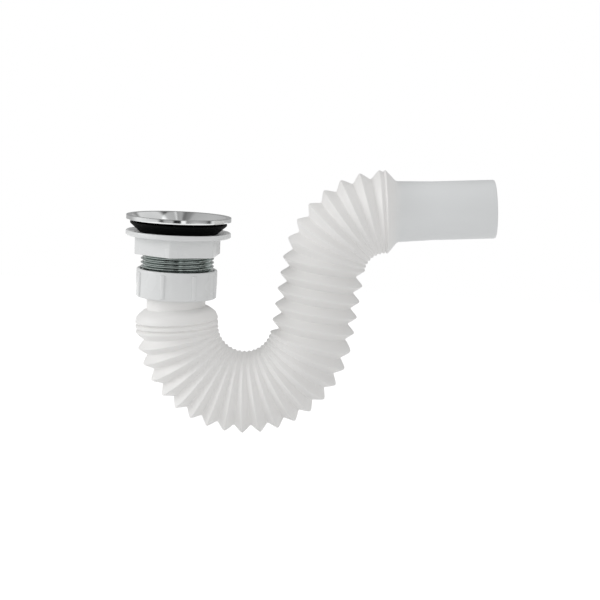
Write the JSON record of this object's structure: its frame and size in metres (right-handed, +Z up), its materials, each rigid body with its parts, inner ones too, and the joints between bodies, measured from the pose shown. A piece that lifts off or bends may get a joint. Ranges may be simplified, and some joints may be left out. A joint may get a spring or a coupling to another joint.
{
  "type": "flexible p-trap",
  "caption": "Flexible basin P-trap: metal waste with threaded tail, tapered rubber washer, flanged back nut, ribbed coupling nut and a bent bellows hose ending in a plain spigot.",
  "frame": {"origin": "on the axis of the waste, in the plane where the underside of the rim rests on the basin", "axes": "+Z up along the waste, +X towards the outlet spigot, the hose lying in the XZ plane"},
  "size_m": [0.2113, 0.0602, 0.156],
  "materials": {
    "polished_metal": "polished",
    "black_rubber": "matte",
    "white_nut_plastic": "satin",
    "white_hose_plastic": "satin"
  },
  "bodies": {
    "waste": {"waste_body": "polished_metal"},
    "washer": {"tapered_washer": "black_rubber"},
    "back_nut": {"back_nut": "white_nut_plastic"},
    "seal": {"coupling_seal": "black_rubber"},
    "coupling_nut": {"coupling_nut": "white_nut_plastic"},
    "hose": {"trap_hose": "white_hose_plastic"}
  },
  "joints": [
    {"name": "washer_drop", "type": "slide", "parent": "waste", "child": "washer", "axis": [0, 0, -1], "range_m": [0, 0.0081]},
    {"name": "back_nut_turn", "type": "hinge", "parent": "washer", "child": "back_nut", "pos_m": [0, 0, -0.015], "axis": [0, 0, -1], "range_deg": [0, 1262]},
    {"name": "seal_drop", "type": "slide", "parent": "waste", "child": "seal", "axis": [0, 0, -1], "range_m": [0, 0.0085]},
    {"name": "coupling_turn", "type": "hinge", "parent": "seal", "child": "coupling_nut", "pos_m": [0, 0, -0.036], "axis": [0, 0, -1], "range_deg": [0, 1325]},
    {"name": "hose_swivel", "type": "hinge", "parent": "seal", "child": "hose", "pos_m": [0, 0, -0.0405], "axis": [0, 0, 1], "continuous": true}
  ],
  "couplings": [
    {"joint": "washer_drop", "follows": "back_nut_turn", "m_per_rad": 0.0003675},
    {"joint": "seal_drop", "follows": "coupling_turn", "m_per_rad": 0.0003675}
  ]
}
